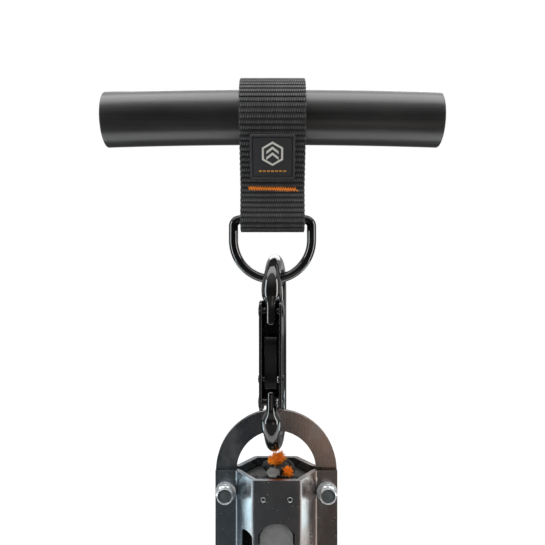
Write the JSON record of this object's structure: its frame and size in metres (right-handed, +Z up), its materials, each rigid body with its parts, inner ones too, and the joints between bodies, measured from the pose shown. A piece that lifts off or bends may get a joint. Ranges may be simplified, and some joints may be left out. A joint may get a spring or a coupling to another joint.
{
  "type": "zip line trolley",
  "caption": "Zip line trolley: bolted zinc hexagonal housing with running wheel, knotted load rope and bail, hung by a locking snap hook, D-ring and webbing sling from a tubular bar.",
  "frame": {"origin": "middle of the hanger bar's axis, where the webbing sling goes over it", "axes": "+X along the hanger bar, +Z up, -Y towards the side of the hook's gate and the badge; the cable runs along Y"},
  "size_m": [0.26, 0.0596, 0.4462],
  "materials": {
    "tube_black": "satin black powder coat",
    "plastic_black": "matt moulded plastic",
    "webbing": "ribbed polyester webbing",
    "badge_rubber": "moulded soft rubber",
    "thread_orange": "bar-tacked thread",
    "paint_gloss_black": "gloss black coat on steel",
    "paint_satin_black": "satin black coat on steel",
    "spring_steel": "bright spring steel",
    "zinc_plate": "bright zinc-plated sheet",
    "zinc_fastener": "bright zinc-plated fastener",
    "cast_grey": "grey galvanised, speckled",
    "wheel_nylon": "turned cast nylon",
    "rope_black": "braided polyester rope",
    "rope_orange": "frayed polyester fibre",
    "rope_white": "frayed polyester fibre"
  },
  "bodies": {
    "hanger_bar": {"hanger_bar": "tube_black", "bar_plug_left": "plastic_black", "bar_plug_right": "plastic_black"},
    "sling": {"sling_outer_ply": "webbing", "sling_inner_ply": "webbing", "badge": "badge_rubber", "tack_front": "thread_orange", "tack_rear": "thread_orange"},
    "d_ring": {"d_ring": "paint_gloss_black"},
    "hook": {"hook_frame": "paint_gloss_black", "gate_hinge_rivet": "paint_satin_black"},
    "gate": {"gate_channel": "paint_satin_black", "gate_latch_pin": "paint_satin_black", "lever_pin": "paint_satin_black", "gate_spring": "spring_steel"},
    "lever": {"lock_lever": "paint_gloss_black", "lever_spring": "spring_steel"},
    "wheel": {"wheel_sheave": "wheel_nylon", "bearing_left": "spring_steel", "bearing_right": "spring_steel"},
    "trolley": {"circlip_left": "spring_steel", "circlip_right": "spring_steel", "bail_plate": "zinc_plate", "front_shell": "zinc_plate", "rear_shell": "zinc_plate", "bolt_high_left": "zinc_fastener", "nut_high_left": "zinc_fastener", "washer_front_high_left": "zinc_fastener", "washer_rear_high_left": "zinc_fastener", "bolt_high_right": "zinc_fastener", "nut_high_right": "zinc_fastener", "washer_front_high_right": "zinc_fastener", "washer_rear_high_right": "zinc_fastener", "bolt_low_left": "zinc_fastener", "nut_low_left": "zinc_fastener", "washer_front_low_left": "zinc_fastener", "washer_rear_low_left": "zinc_fastener", "bolt_low_right": "zinc_fastener", "nut_low_right": "zinc_fastener", "washer_front_low_right": "zinc_fastener", "washer_rear_low_right": "zinc_fastener", "seat_pin_left": "zinc_fastener", "seat_pin_right": "zinc_fastener", "axle_pin": "zinc_fastener", "load_thimble": "zinc_fastener", "rope_seat": "cast_grey", "wheel_carrier": "cast_grey", "rope_loop": "rope_black", "rope_knot": "rope_black", "tuft_orange_large": "rope_orange", "tuft_orange_small": "rope_orange", "tuft_white": "rope_white"}
  },
  "joints": [
    {"name": "sling_swing", "type": "hinge", "parent": "hanger_bar", "child": "sling", "pos_m": [0, 0, 0], "axis": [1, 0, 0], "range_deg": [-60, 60]},
    {"name": "d_ring_swing", "type": "hinge", "parent": "sling", "child": "d_ring", "pos_m": [0, 0, -0.0801], "axis": [1, 0, 0], "range_deg": [-45, 45]},
    {"name": "hook_swing", "type": "hinge", "parent": "d_ring", "child": "hook", "pos_m": [0.0023, 0, -0.12695], "axis": [1, 0, 0], "range_deg": [-40, 40]},
    {"name": "gate_opening", "type": "hinge", "parent": "hook", "child": "gate", "pos_m": [-0.00082, -0.02218, -0.2183], "axis": [-0.9903, 0.1392, 0], "range_deg": [0, 20], "stiffness_Nm_per_rad": 0.35, "springref_deg": -20.05},
    {"name": "lever_press", "type": "hinge", "parent": "gate", "child": "lever", "pos_m": [-0.00104, -0.02377, -0.201], "axis": [-0.9903, 0.1392, 0], "range_deg": [0, 7], "stiffness_Nm_per_rad": 0.12, "springref_deg": -20.05},
    {"name": "trolley_swing", "type": "hinge", "parent": "hook", "child": "trolley", "pos_m": [0.003, 0, -0.2534], "axis": [0, 1, 0], "range_deg": [-35, 35]},
    {"name": "wheel_spin", "type": "hinge", "parent": "trolley", "child": "wheel", "pos_m": [0.003, 0, -0.331], "axis": [1, 0, 0], "continuous": true}
  ]
}
